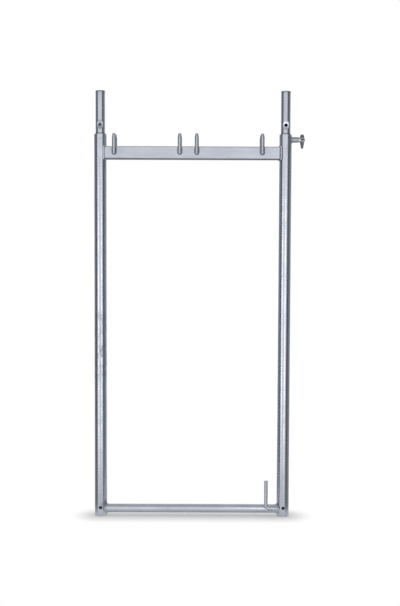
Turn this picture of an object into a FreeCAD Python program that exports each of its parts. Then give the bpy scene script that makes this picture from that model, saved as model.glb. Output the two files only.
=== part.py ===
import FreeCAD, Part
import math
import os

# Scaffold frame. Millimetres, +Z up. The origin is the foot of the inner standard on its
# axis, +X points to the outer standard and -Y is the front.

# Standards
STANDARD_SPACING = 720.0
STANDARD_DIAMETER = 48.3
STANDARD_WALL = 3.2
STANDARD_LENGTH = 1500.0
RIM_CHAMFER = 0.8
LOCK_HOLE_DIAMETER = 13.0
LOCK_HOLE_RISE = 35.0

# Spigots
SOCKET_CLEARANCE = 2.45
SPIGOT_HEIGHT = 167.0
SPIGOT_WALL = 4.0
SPIGOT_NOSE = 3.0
SEAT_STEP = 0.6
SEAT_DEPTH = 105.0
SEAT_CLEARANCE = 0.1
NECK_DROP = 4.0
NECK_LENGTH = 3.0
DISH_RADIUS = 42.0
DISH_DEPTH = 4.0

# Transom
TRANSOM_HEIGHT = 50.0
TRANSOM_DEPTH = 40.0
TRANSOM_WALL = 3.0
TRANSOM_CORNER = 4.0
TRANSOM_DROP = 48.0

# Bottom rail
RAIL_DIAMETER = 33.7
RAIL_WALL = 2.6
RAIL_RISE = 28.5

# Deck pins
DECK_PIN_DIAMETER = 16.0
DECK_PIN_FOOT_DIAMETER = 15.0
DECK_PIN_RISE = 49.0
DECK_PIN_LAP = 31.0
DECK_PIN_TAPER = 15.0
DECK_PIN_TIP_DIAMETER = 11.0
DECK_PIN_TIP_ROUND = 2.5
DECK_PIN_FOOT_ROUND = 5.0
DECK_PIN_INNER_INSET = 55.0
DECK_PIN_OUTER_INSET = 91.0
DECK_PIN_GAP = 66.0

# Toe-board pin
TOE_PIN_DIAMETER = 14.0
TOE_PIN_INSET = 68.0
TOE_PIN_TOP = 145.0
TOE_PIN_TIP_ROUND = 3.0
TOE_PIN_BEND = 14.0
TOE_PIN_SEAT_RISE = 6.0
TOE_PIN_END_GAP = 24.0

# Guardrail stud, lengths from the axis of the outer standard
STUD_DROP = 20.0
STUD_ROOT_DIAMETER = 21.0
STUD_ROOT_END = 30.0
STUD_DIAMETER = 22.0
STUD_SHOULDER = 52.0
STUD_HEAD_DIAMETER = 18.0
STUD_END = 74.0
STUD_HEAD_ROUND = 4.0
STUD_SHOULDER_ROUND = 1.0
PIVOT_REACH = 64.0
RIVET_DIAMETER = 5.0
RIVET_SEAT_CLEARANCE = 0.05
RIVET_RECESS_LENGTH = 13.0
RIVET_RECESS_HEIGHT = 5.6
RIVET_RECESS_DEPTH = 2.4
RIVET_PROUD = 1.0

# Tilting finger, lengths from its pivot
FINGER_THICKNESS = 8.0
FINGER_WIDTH = 16.0
FINGER_TOP = 21.0
FINGER_BOTTOM = 34.0
FINGER_SHANK = 10.0
FINGER_TIP_WIDTH = 9.0
FINGER_EDGE_ROUND = 0.6
FINGER_SIDE_CLEARANCE = 0.3
FINGER_END_CLEARANCE = 1.0
PIVOT_CLEARANCE = 0.06

# Welds
FIT_UP_GAP = 0.2
TRANSOM_BEAD_RADIUS = 4.5
RAIL_WELD_LEG = 5.0
STUD_WELD_LEG = 4.0
PIN_BEAD_RADIUS = 4.0
PIN_BEAD_OFFSET = 7.0
PIN_BEAD_LIFT = 0.8
PIN_BEAD_TOP_DROP = 4.0
TOE_BEAD_RADIUS = 3.5
TOE_BEAD_LIFT = 1.2
TOE_UPPER_BEAD_LENGTH = 20.0
TOE_LOWER_BEAD_LENGTH = 8.0

STANDARD_RADIUS = STANDARD_DIAMETER / 2
BORE_RADIUS = STANDARD_RADIUS - STANDARD_WALL
SEAT_RADIUS = BORE_RADIUS + SEAT_STEP
SPIGOT_RADIUS = BORE_RADIUS - SOCKET_CLEARANCE
TRANSOM_TOP = STANDARD_LENGTH - TRANSOM_DROP
TRANSOM_BOTTOM = TRANSOM_TOP - TRANSOM_HEIGHT
TRANSOM_FACE = TRANSOM_DEPTH / 2
RAIL_RADIUS = RAIL_DIAMETER / 2
DECK_PIN_REACH = TRANSOM_FACE + DECK_PIN_FOOT_DIAMETER / 2
DECK_PIN_RUN = STANDARD_SPACING - DECK_PIN_INNER_INSET - DECK_PIN_OUTER_INSET
DECK_PIN_SPACING = (DECK_PIN_RUN - DECK_PIN_GAP) / 2
TOE_PIN_RADIUS = TOE_PIN_DIAMETER / 2
STUD_HEIGHT = STANDARD_LENGTH - STUD_DROP
SLOT_WIDTH = FINGER_THICKNESS + 2 * FINGER_SIDE_CLEARANCE

V = FreeCAD.Vector
X_AXIS = V(1, 0, 0)
Y_AXIS = V(0, 1, 0)
Z_AXIS = V(0, 0, 1)
OUTER = V(STANDARD_SPACING, 0, 0)


def cylinder(radius, start, end):
    """Solid cylinder between two points."""
    axis = end.sub(start)
    return Part.makeCylinder(radius, axis.Length, start, axis)


def turned(profile):
    """Solid turned about Z from a closed outline of (radius, height) corners."""
    corners = [V(radius, 0, height) for radius, height in profile]
    face = Part.Face(Part.makePolygon(corners + corners[:1]))
    return face.revolve(V(0, 0, 0), Z_AXIS, 360)


def level_edges(shape, height):
    """Edges that lie flat at one height."""
    return [
        edge
        for edge in shape.Edges
        if abs(edge.BoundBox.ZMin - height) < 0.01 and abs(edge.BoundBox.ZMax - height) < 0.01
    ]


def moved(shape, offset):
    """Copy of a shape shifted by a vector."""
    copy = shape.copy()
    copy.translate(offset)
    return copy


def mirrored_to_outer(shape):
    """Copy of an inner-side shape mirrored to the outer side of the frame."""
    return shape.mirror(OUTER * 0.5, X_AXIS)


def capsule(radius, start, end):
    """Round-ended bar between two points."""
    ends = [Part.makeSphere(radius, start), Part.makeSphere(radius, end)]
    return cylinder(radius, start, end).multiFuse(ends)


def block(low, high):
    """Box between two corners."""
    size = high.sub(low)
    return Part.makeBox(size.x, size.y, size.z, low)


def standard_body(growth=0.0):
    """Solid outer form of the inner standard, made larger all round by the growth."""
    return cylinder(STANDARD_RADIUS + growth, V(0, 0, 0), V(0, 0, STANDARD_LENGTH))


def lock_hole(height):
    """Hole through the front wall of the inner standard or its spigot."""
    centre = V(0, 0, height)
    return cylinder(LOCK_HOLE_DIAMETER / 2, centre.sub(V(0, STANDARD_DIAMETER, 0)), centre)


def standard():
    """Tube with an open socket at the foot and a wider seat for the spigot at the top."""
    body = standard_body()
    rims = level_edges(body, 0) + level_edges(body, STANDARD_LENGTH)
    body = body.makeChamfer(RIM_CHAMFER, rims)
    top = V(0, 0, STANDARD_LENGTH)
    bore = cylinder(BORE_RADIUS, V(0, 0, 0), top)
    seat = cylinder(SEAT_RADIUS, V(0, 0, STANDARD_LENGTH - SEAT_DEPTH), top)
    return body.cut(bore).cut(seat).cut(lock_hole(LOCK_HOLE_RISE))


def spigot():
    """Tube with an expanded foot in the seat and a pressed dish around its lock hole."""
    foot = STANDARD_LENGTH - SEAT_DEPTH
    neck = STANDARD_LENGTH - NECK_DROP
    top = STANDARD_LENGTH + SPIGOT_HEIGHT
    hole = STANDARD_LENGTH + LOCK_HOLE_RISE
    wide = SEAT_RADIUS - SEAT_CLEARANCE

    def form(inset):
        """Turned form, drawn in from the outer surface by the inset."""
        return turned([
            (0, foot),
            (wide - inset, foot),
            (wide - inset, neck),
            (SPIGOT_RADIUS - inset, neck + NECK_LENGTH),
            (SPIGOT_RADIUS - inset, top),
            (0, top),
        ])

    def dish(growth):
        """Cylinder across the tube that presses the dish, made larger by the growth."""
        across = V(STANDARD_DIAMETER, 0, 0)
        centre = V(0, DISH_DEPTH - SPIGOT_RADIUS - DISH_RADIUS, hole)
        return cylinder(DISH_RADIUS + growth, centre.sub(across), centre.add(across))

    body = form(0)
    body = body.makeFillet(SPIGOT_NOSE, level_edges(body, top))
    void = form(SPIGOT_WALL).cut(dish(SPIGOT_WALL))
    return body.cut(dish(0)).cut(void).cut(lock_hole(hole))


def transom_section(inset):
    """Rounded rectangular bar between the standards' axes, drawn in by the inset."""
    half = TRANSOM_FACE - inset
    low = V(0, -half, TRANSOM_BOTTOM + inset)
    bar = block(low, V(STANDARD_SPACING, half, TRANSOM_TOP - inset))
    long_edges = [edge for edge in bar.Edges if edge.BoundBox.XLength > STANDARD_SPACING / 2]
    return bar.makeFillet(TRANSOM_CORNER - inset, long_edges)


def rail_section(radius):
    """Round bar between the standards' axes at the height of the bottom rail."""
    return cylinder(radius, V(0, 0, RAIL_RISE), V(STANDARD_SPACING, 0, RAIL_RISE))


def coped(bar):
    """Bar with both ends cut to the round of the standards."""
    cutter = standard_body(FIT_UP_GAP)
    return bar.cut(cutter).cut(moved(cutter, OUTER))


def deck_pin():
    """Upright pin on the Z axis: rounded welded foot, plain shank and tapered tip."""
    foot = TRANSOM_TOP - DECK_PIN_LAP
    tip = TRANSOM_TOP + DECK_PIN_RISE
    pin = turned([
        (0, foot),
        (DECK_PIN_FOOT_DIAMETER / 2, foot),
        (DECK_PIN_FOOT_DIAMETER / 2, TRANSOM_TOP),
        (DECK_PIN_DIAMETER / 2, TRANSOM_TOP),
        (DECK_PIN_DIAMETER / 2, tip - DECK_PIN_TAPER),
        (DECK_PIN_TIP_DIAMETER / 2, tip),
        (0, tip),
    ])
    pin = pin.makeFillet(DECK_PIN_TIP_ROUND, level_edges(pin, tip))
    return pin.makeFillet(DECK_PIN_FOOT_ROUND, level_edges(pin, foot))


def deck_pin_weld(pin):
    """Bead in the corners beside and under a front deck pin standing on the Z axis."""
    face = -DECK_PIN_REACH + DECK_PIN_FOOT_DIAMETER / 2
    plane = face - PIN_BEAD_LIFT
    bend = TRANSOM_TOP - DECK_PIN_LAP + DECK_PIN_FOOT_DIAMETER / 2
    top = TRANSOM_TOP - PIN_BEAD_TOP_DROP
    loop = Part.makeTorus(PIN_BEAD_OFFSET, PIN_BEAD_RADIUS, V(0, plane, bend), Y_AXIS)
    reach = PIN_BEAD_OFFSET + PIN_BEAD_RADIUS
    lower = block(V(-reach, plane - reach, bend - reach), V(reach, plane + reach, bend))
    bead = loop.common(lower)
    for side in (-1, 1):
        start = V(side * PIN_BEAD_OFFSET, plane, bend)
        bead = bead.fuse(cylinder(PIN_BEAD_RADIUS, start, V(start.x, plane, top)))
    return bead.cut(pin).cut(moved(transom_section(0), V(-DECK_PIN_INNER_INSET, 0, 0)))


def toe_pin_axis():
    """Distance in front of the rail's axis, and height, of the toe-board pin's short leg."""
    centres = RAIL_RADIUS + TOE_PIN_RADIUS
    return -math.sqrt(centres**2 - TOE_PIN_SEAT_RISE**2), RAIL_RISE + TOE_PIN_SEAT_RISE


def toe_board_pin():
    """Round rod bent at a right angle, the short leg lying on the front of the rail."""
    y, low = toe_pin_axis()
    x = STANDARD_SPACING - TOE_PIN_INSET
    bend = low + TOE_PIN_BEND
    upright = cylinder(TOE_PIN_RADIUS, V(x, y, bend), V(x, y, TOE_PIN_TOP))
    upright = upright.makeFillet(TOE_PIN_TIP_ROUND, level_edges(upright, TOE_PIN_TOP))
    section = Part.Face(Part.Wire(Part.makeCircle(TOE_PIN_RADIUS, V(x, y, bend), Z_AXIS)))
    elbow = section.revolve(V(x + TOE_PIN_BEND, y, bend), Y_AXIS, -90)
    leg_end = STANDARD_SPACING - TOE_PIN_END_GAP
    leg = cylinder(TOE_PIN_RADIUS, V(x + TOE_PIN_BEND, y, low), V(leg_end, y, low))
    return upright.multiFuse([elbow, leg]).removeSplitter()


def toe_pin_weld(pin, side, length):
    """Bead above (side 1) or below (side -1) the short leg where it lies on the rail."""
    y, low = toe_pin_axis()
    centres = RAIL_RADIUS + TOE_PIN_RADIUS
    to_rail = RAIL_RADIUS + TOE_BEAD_LIFT
    to_leg = TOE_PIN_RADIUS + TOE_BEAD_LIFT
    along = (to_rail**2 - to_leg**2 + centres**2) / (2 * centres)
    aside = math.sqrt(to_rail**2 - along**2)
    toward = V(0, y, TOE_PIN_SEAT_RISE).normalize()
    upward = V(0, toward.z, -toward.y)
    start = V(STANDARD_SPACING - TOE_PIN_INSET + TOE_PIN_BEND, 0, RAIL_RISE)
    start = start + toward * along + upward * (side * aside)
    bead = capsule(TOE_BEAD_RADIUS, start, start + V(length, 0, 0))
    return bead.cut(pin).cut(rail_section(RAIL_RADIUS))


def transom_weld():
    """Bead all round the transom where it meets the inner standard."""
    seam = math.sqrt(STANDARD_RADIUS**2 - TRANSOM_FACE**2)
    corners = [V(seam, side * TRANSOM_FACE, 0) for side in (-1, 1)]
    span = block(V(0, -TRANSOM_FACE, 0), V(STANDARD_DIAMETER, TRANSOM_FACE, STANDARD_LENGTH))
    pieces = []
    for height in (TRANSOM_BOTTOM, TRANSOM_TOP):
        ring = Part.makeTorus(STANDARD_RADIUS, TRANSOM_BEAD_RADIUS, V(0, 0, height), Z_AXIS)
        pieces.append(ring.common(span))
    for corner in corners:
        low = corner + V(0, 0, TRANSOM_BOTTOM)
        pieces.append(capsule(TRANSOM_BEAD_RADIUS, low, corner + V(0, 0, TRANSOM_TOP)))
    bead = pieces[0].multiFuse(pieces[1:])
    return bead.cut(standard_body()).cut(transom_section(0))


def ring_weld(bar, grown_bar, leg):
    """Bead round a bar that butts against the +X side of the inner standard."""
    ahead = block(V(0, -STANDARD_DIAMETER, 0), V(STANDARD_DIAMETER, STANDARD_DIAMETER, STANDARD_LENGTH))
    bead = grown_bar.common(standard_body(leg)).common(ahead)
    return bead.cut(bar).cut(standard_body())


def stud_point(reach):
    """Point on the axis of the guardrail stud."""
    return V(reach, 0, STUD_HEIGHT)


def guardrail_stud():
    """Turned stud on the standard at the origin, its slotted head carrying the finger."""
    form = turned([
        (0, 0),
        (STUD_ROOT_DIAMETER / 2, 0),
        (STUD_ROOT_DIAMETER / 2, STUD_ROOT_END),
        (STUD_DIAMETER / 2, STUD_ROOT_END),
        (STUD_DIAMETER / 2, STUD_SHOULDER),
        (STUD_HEAD_DIAMETER / 2, STUD_SHOULDER),
        (STUD_HEAD_DIAMETER / 2, STUD_END),
        (0, STUD_END),
    ])
    form = form.makeFillet(STUD_HEAD_ROUND, level_edges(form, STUD_END))
    shoulder = [
        edge
        for edge in level_edges(form, STUD_SHOULDER)
        if edge.BoundBox.XLength > STUD_DIAMETER - 0.1
    ]
    form = form.makeFillet(STUD_SHOULDER_ROUND, shoulder)
    form.rotate(V(0, 0, 0), Y_AXIS, 90)
    form.translate(stud_point(0))
    slot_start = PIVOT_REACH - FINGER_TOP - FINGER_END_CLEARANCE
    half = SLOT_WIDTH / 2
    slot = block(
        V(slot_start, -half, STUD_HEIGHT - STUD_DIAMETER),
        V(STUD_END + half, half, STUD_HEIGHT + STUD_DIAMETER),
    )
    form = form.cut(standard_body(FIT_UP_GAP)).cut(slot).cut(rivet(RIVET_SEAT_CLEARANCE))
    floor = STUD_HEAD_DIAMETER / 2 - RIVET_RECESS_DEPTH
    centre_run = (RIVET_RECESS_LENGTH - RIVET_RECESS_HEIGHT) / 2
    for side in (-1, 1):
        near = V(0, side * floor, 0)
        far = V(0, side * STUD_DIAMETER, 0)
        recess = block(
            V(PIVOT_REACH - centre_run, min(near.y, far.y), STUD_HEIGHT - RIVET_RECESS_HEIGHT / 2),
            V(PIVOT_REACH + centre_run, max(near.y, far.y), STUD_HEIGHT + RIVET_RECESS_HEIGHT / 2),
        )
        for end in (-1, 1):
            centre = stud_point(PIVOT_REACH + end * centre_run)
            recess = recess.fuse(cylinder(RIVET_RECESS_HEIGHT / 2, centre + near, centre + far))
        form = form.cut(recess)
    return form


def rivet(growth):
    """Pivot rivet across the slot, made larger in radius by the growth."""
    half = V(0, STUD_HEAD_DIAMETER / 2 - RIVET_RECESS_DEPTH + RIVET_PROUD, 0)
    centre = stud_point(PIVOT_REACH)
    return cylinder(RIVET_DIAMETER / 2 + growth, centre.sub(half), centre.add(half))


def tilting_finger():
    """Flat finger hanging on the rivet, round at the top and tapered to a round tip."""
    half = FINGER_WIDTH / 2
    tip = FINGER_TIP_WIDTH / 2
    shoulder = FINGER_TOP - half
    toe = -FINGER_BOTTOM + tip
    corners = [
        V(-half, 0, shoulder),
        V(-half, 0, -FINGER_SHANK),
        V(-tip, 0, toe),
        V(tip, 0, toe),
        V(half, 0, -FINGER_SHANK),
        V(half, 0, shoulder),
    ]
    sides = [Part.makeLine(a, b) for a, b in ((corners[0], corners[1]), (corners[1], corners[2]))]
    sides.append(Part.Arc(corners[2], V(0, 0, -FINGER_BOTTOM), corners[3]).toShape())
    sides.append(Part.makeLine(corners[3], corners[4]))
    sides.append(Part.makeLine(corners[4], corners[5]))
    sides.append(Part.Arc(corners[5], V(0, 0, FINGER_TOP), corners[0]).toShape())
    plate = Part.Face(Part.Wire(sides)).extrude(V(0, FINGER_THICKNESS, 0))
    plate.translate(V(0, -FINGER_THICKNESS / 2, 0))
    rims = [edge for edge in plate.Edges if edge.BoundBox.YLength < 0.01]
    plate = plate.makeFillet(FINGER_EDGE_ROUND, rims)
    plate.translate(stud_point(PIVOT_REACH))
    return plate.cut(rivet(PIVOT_CLEARANCE))


os.makedirs("parts", exist_ok=True)


def save(name, shape):
    """Writes one piece under its node name."""
    shape.exportStep("parts/" + name + ".step")


save("inner_standard", standard())
save("outer_standard", moved(standard(), OUTER))
save("inner_spigot", spigot())
save("outer_spigot", moved(spigot(), OUTER))
save("transom", coped(transom_section(0).cut(transom_section(TRANSOM_WALL))))
save("bottom_rail", coped(rail_section(RAIL_RADIUS).cut(rail_section(RAIL_RADIUS - RAIL_WALL))))

front_pin = moved(deck_pin(), V(0, -DECK_PIN_REACH, 0))
front_weld = deck_pin_weld(front_pin)
for deck in (0, 1):
    for end in (0, 1):
        x = DECK_PIN_INNER_INSET + end * DECK_PIN_SPACING
        x += deck * (DECK_PIN_SPACING + DECK_PIN_GAP)
        number = str(1 + 2 * deck + end)
        for face in ("front", "back"):
            pair = [moved(shape, V(x, 0, 0)) for shape in (front_pin, front_weld)]
            if face == "back":
                pair = [shape.mirror(V(0, 0, 0), Y_AXIS) for shape in pair]
            save("deck_pin_" + face + "_" + number, pair[0])
            save("deck_pin_weld_" + face + "_" + number, pair[1])

toe_pin = toe_board_pin()
save("toe_board_pin", toe_pin)
save("toe_pin_weld_upper", toe_pin_weld(toe_pin, 1, TOE_UPPER_BEAD_LENGTH))
save("toe_pin_weld_lower", toe_pin_weld(toe_pin, -1, TOE_LOWER_BEAD_LENGTH))

save("guardrail_stud", moved(guardrail_stud(), OUTER))
save("finger_rivet", moved(rivet(0), OUTER))
save("tilting_finger", moved(tilting_finger(), OUTER))

rail_weld = ring_weld(rail_section(RAIL_RADIUS), rail_section(RAIL_RADIUS + RAIL_WELD_LEG), RAIL_WELD_LEG)
save("rail_weld_inner", rail_weld)
save("rail_weld_outer", mirrored_to_outer(rail_weld).cut(toe_pin))
save("transom_weld_inner", transom_weld())
save("transom_weld_outer", mirrored_to_outer(transom_weld()))
stud_root = cylinder(STUD_ROOT_DIAMETER / 2, stud_point(0), stud_point(STUD_ROOT_END))
stud_grown = cylinder(
    STUD_ROOT_DIAMETER / 2 + STUD_WELD_LEG, stud_point(0), stud_point(STUD_ROOT_END)
)
save("stud_weld", moved(ring_weld(stud_root, stud_grown, STUD_WELD_LEG), OUTER))
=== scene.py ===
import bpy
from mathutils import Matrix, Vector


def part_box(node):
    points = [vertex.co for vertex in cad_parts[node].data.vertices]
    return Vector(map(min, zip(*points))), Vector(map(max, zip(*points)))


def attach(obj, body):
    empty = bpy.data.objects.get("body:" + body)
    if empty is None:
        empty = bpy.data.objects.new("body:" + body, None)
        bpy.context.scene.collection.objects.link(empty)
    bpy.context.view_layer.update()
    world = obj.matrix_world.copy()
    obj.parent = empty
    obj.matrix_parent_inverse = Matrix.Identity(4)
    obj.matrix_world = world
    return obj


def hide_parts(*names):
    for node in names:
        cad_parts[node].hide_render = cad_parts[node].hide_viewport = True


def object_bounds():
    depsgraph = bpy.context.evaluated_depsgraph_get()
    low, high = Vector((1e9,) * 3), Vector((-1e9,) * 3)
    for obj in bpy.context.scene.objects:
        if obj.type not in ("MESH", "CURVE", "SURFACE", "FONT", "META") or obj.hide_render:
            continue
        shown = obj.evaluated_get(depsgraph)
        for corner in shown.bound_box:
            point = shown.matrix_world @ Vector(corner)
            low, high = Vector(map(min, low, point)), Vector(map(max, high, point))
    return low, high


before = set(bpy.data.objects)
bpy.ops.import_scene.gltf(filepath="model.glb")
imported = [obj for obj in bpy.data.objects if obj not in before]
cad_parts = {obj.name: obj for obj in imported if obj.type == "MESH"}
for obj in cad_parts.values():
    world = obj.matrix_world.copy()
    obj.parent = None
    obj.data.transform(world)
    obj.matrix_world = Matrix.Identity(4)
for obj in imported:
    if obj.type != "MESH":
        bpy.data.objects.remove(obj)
CAD_BOX = [list(corner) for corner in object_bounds()]

import math

import bmesh
import bpy
from bpy.props import FloatProperty, FloatVectorProperty, IntProperty, PointerProperty
from mathutils import Matrix, Vector

bl_info = {
    "name": "Scaffold Frame",
    "version": (1, 0, 0),
    "blender": (4, 5, 0),
    "location": "View3D > Sidebar > Scaffold",
    "description": "Finishes a galvanised scaffold frame and sets up its studio",
    "category": "Object",
}

MM = 0.001
MICRON = 1e-6
DECK_PINS = [face + "_" + str(number) for face in ("front", "back") for number in range(1, 5)]

# Sizes of the solids that their boxes don't give
LOCK_HOLE_RISE = 35 * MM
TRANSOM_CORNER = 4 * MM
STUD_WELD_LEG = 4 * MM
PIN_BEAD_RADIUS = 4 * MM
TOE_BEAD_LIFT = 1.2 * MM

# A Mix node's two colour inputs, whose names its number inputs have too
COLOUR_A = 6
COLOUR_B = 7


def linear(code):
    """Linear colour of an sRGB hex code."""
    channels = [int(code[i:i + 2], 16) / 255 for i in (0, 2, 4)]
    return tuple(c / 12.92 if c <= 0.04045 else ((c + 0.055) / 1.055) ** 2.4 for c in channels)


def add(tree, kind, inputs=(), **settings):
    """Add a node to a tree, with its settings and its inputs' values or links.

    The inputs are a row of values or a dict by socket. A node given as a value stands for the
    first of its outputs that is in use.
    """
    node = tree.nodes.new(kind)
    for name, value in settings.items():
        setattr(node, name, value)
    for key, value in inputs.items() if isinstance(inputs, dict) else enumerate(inputs):
        socket = node.inputs[key]
        if isinstance(value, bpy.types.Node):
            value = next(output for output in value.outputs if output.enabled)
        if isinstance(value, bpy.types.NodeSocket):
            tree.links.new(value, socket)
        elif socket.type == "RGBA" and len(value) == 3:
            socket.default_value = (*value, 1)
        else:
            socket.default_value = value
    return node


def size_property(name, description, millimetres):
    return FloatProperty(
        name=name, description=description, default=millimetres * MM, min=0, subtype="DISTANCE", unit="LENGTH"
    )


def colour_property(name, description, code):
    return FloatVectorProperty(
        name=name, description=description, default=linear(code), min=0, max=1, size=3, subtype="COLOR"
    )


def factor_property(name, description, value):
    return FloatProperty(name=name, description=description, default=value, min=0, max=1, subtype="FACTOR")


def angle_property(name, description, degrees):
    return FloatProperty(name=name, description=description, default=math.radians(degrees), subtype="ANGLE")


class ZincFinish(bpy.types.PropertyGroup):
    """Hot-dip zinc on the tubes, bars and welds."""

    light: colour_property("Bright zinc", "Colour of the brighter crystals", "D0D5DE")
    dark: colour_property("Dull zinc", "Colour of the duller crystals and runs", "C2C8D2")
    # Stains and painted shade both darken the zinc towards this colour
    grime_and_shade: colour_property("Grime", "Colour of the dirt", "4A4B4E")
    roughness: factor_property("Roughness", "Mean roughness of the zinc", 0.25)
    spread: factor_property("Spread", "How far the crystals' roughness lies from the mean", 0.05)
    dullness: factor_property("Dullness", "How much rougher the dirt is than the zinc", 0.2)
    spangle: size_property("Spangle", "Width of a zinc crystal", 9)
    clouds: size_property("Clouds", "Width of the dull patches", 60)
    cloud_share: factor_property("Cloud share", "Share of the patches in the mottling", 0.85)
    run_width: size_property("Run width", "Width of a run of zinc down a tube", 7)
    run_share: factor_property("Run share", "Share of the runs in the zinc's pattern", 0.45)
    peel: size_property("Peel", "Width of the low lumps in the coat", 14)


class WeldFinish(bpy.types.PropertyGroup):
    """Shape and dirt of the weld beads."""

    pitch: size_property("Ripple pitch", "Distance between two ripples of a bead, drawn coarse to show", 8)
    depth: size_property("Ripple depth", "Height of a ripple over the valley beside it", 0.9)
    wander: size_property("Wander", "How far the bead's face swells and sinks", 0.5)
    lump: size_property("Lump length", "Length of a swelling of the bead", 11)
    bow: size_property("Ripple bow", "How far a ripple trails at the edges of the bead", 2.5)
    transom_radius: size_property("Transom bead", "Radius of the beads round the transom", 4.8)
    rail_radius: size_property("Rail bead", "Radius of the beads round the rail", 4.2)
    stud_radius: size_property("Stud bead", "Radius of the bead round the guardrail stud", 3.4)
    pin_radius: size_property("Pin bead", "Radius of the beads beside the deck pins", 3.4)
    toe_radius: size_property("Toe bead", "Radius of the beads on the toe-board pin", 3.3)
    outer_gap: size_property("Outer gap", "How far the bead at the transom's outer end is from the tube", 4)
    # The beads' darkening is painted shade along their edges and in their valleys
    dirt: factor_property("Dirt", "Share of dirt along the edges of a bead", 0.85)
    inner_dirt: factor_property("Inner dirt", "Share of dirt along the bead at the transom's inner end", 0.4)
    sides: IntProperty(name="Sides", description="Faces round a bead", default=14, min=6)


class FingerFinish(bpy.types.PropertyGroup):
    """Black steel of the tilting finger."""

    black: colour_property("Black steel", "Colour of the blackened face", "6C6B6F")
    worn: colour_property("Worn steel", "Colour where the black has rubbed off", "8C8B90")
    roughness: factor_property("Roughness", "Mean roughness of the black face", 0.5)
    spread: factor_property("Spread", "How far the patches' roughness lies from the mean", 0.1)
    scale: size_property("Scale patches", "Width of the patches of forge scale", 6)
    pitting: size_property("Pitting", "Height of the scale over the pits in it", 0.3)


class Studio(bpy.types.PropertyGroup):
    """Floor, walls, lamps and camera."""

    paper: colour_property("Paper", "Colour of the floor, and of the walls as the camera sees them", "FFFFFF")
    front: colour_property("Front wall", "Colour before the frame, as the metal sees it", "FCFCFE")
    flag: colour_property("Flags", "Colour of the dark stripes beside the front wall", "5A5D62")
    side: colour_property("Side walls", "Colour beside the frame, as the metal sees it", "9599A0")
    back: colour_property("Back wall", "Colour behind the frame, as the metal sees it", "F4F5F7")
    bearing: angle_property("Front bearing", "Direction of the front wall's middle, right of the front", -9.5)
    radius: size_property("Room radius", "Distance from the frame's middle to the walls", 7000)
    wall_height: size_property("Wall height", "Height of the walls, half of it below the floor", 11000)
    ceiling: factor_property("Ceiling", "Brightness of the light from beyond the walls", 0.55)
    key: FloatProperty(name="Key lamps", description="Brightness of the two lamps' faces", default=1.5, min=0)
    left_bearing: angle_property("Left lamp", "Direction of the left lamp, right of the front", -40)
    right_bearing: angle_property("Right lamp", "Direction of the right lamp, right of the front", 17)
    lamp_distance: size_property("Lamp distance", "Distance from the frame's middle to a lamp", 2600)
    lamp_rise: size_property("Lamp rise", "Height of the middle of a lamp's face", 570)
    lamp_width: size_property("Lamp width", "Width of a lamp's face", 550)
    lamp_height: size_property("Lamp height", "Height of a lamp's face", 1640)
    camera_place: FloatVectorProperty(
        name="Camera place", description="Where the camera stands", default=(0.3892, -4.0, 1.0666),
        size=3, subtype="TRANSLATION", unit="LENGTH",
    )
    camera_yaw: angle_property("Camera yaw", "Turn to the right", 0.005)
    camera_pitch: angle_property("Camera pitch", "Tilt downwards", 3.191)
    camera_roll: angle_property("Camera roll", "Turn about the line of sight", 0.212)
    lens: FloatProperty(name="Lens", description="Focal length in millimetres", default=60.67, min=1)


class ScaffoldSettings(bpy.types.PropertyGroup):
    """Everything that a user would change on the frame."""

    zinc: PointerProperty(type=ZincFinish)
    weld: PointerProperty(type=WeldFinish)
    finger: PointerProperty(type=FingerFinish)
    studio: PointerProperty(type=Studio)


def settings():
    return bpy.context.scene.scaffold_frame


def tube_of(node):
    """Axis in X and radius of an upright tube."""
    low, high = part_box(node)
    return (low.x + high.x) / 2, (high.y - low.y) / 2


def middle_of(node):
    """Middle of a node's box."""
    low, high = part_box(node)
    return (low + high) / 2


def new_material(name):
    """Material with an empty node tree, and the tree."""
    material = bpy.data.materials.new(name)
    material.use_nodes = True
    material.node_tree.nodes.clear()
    return material, material.node_tree


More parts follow.
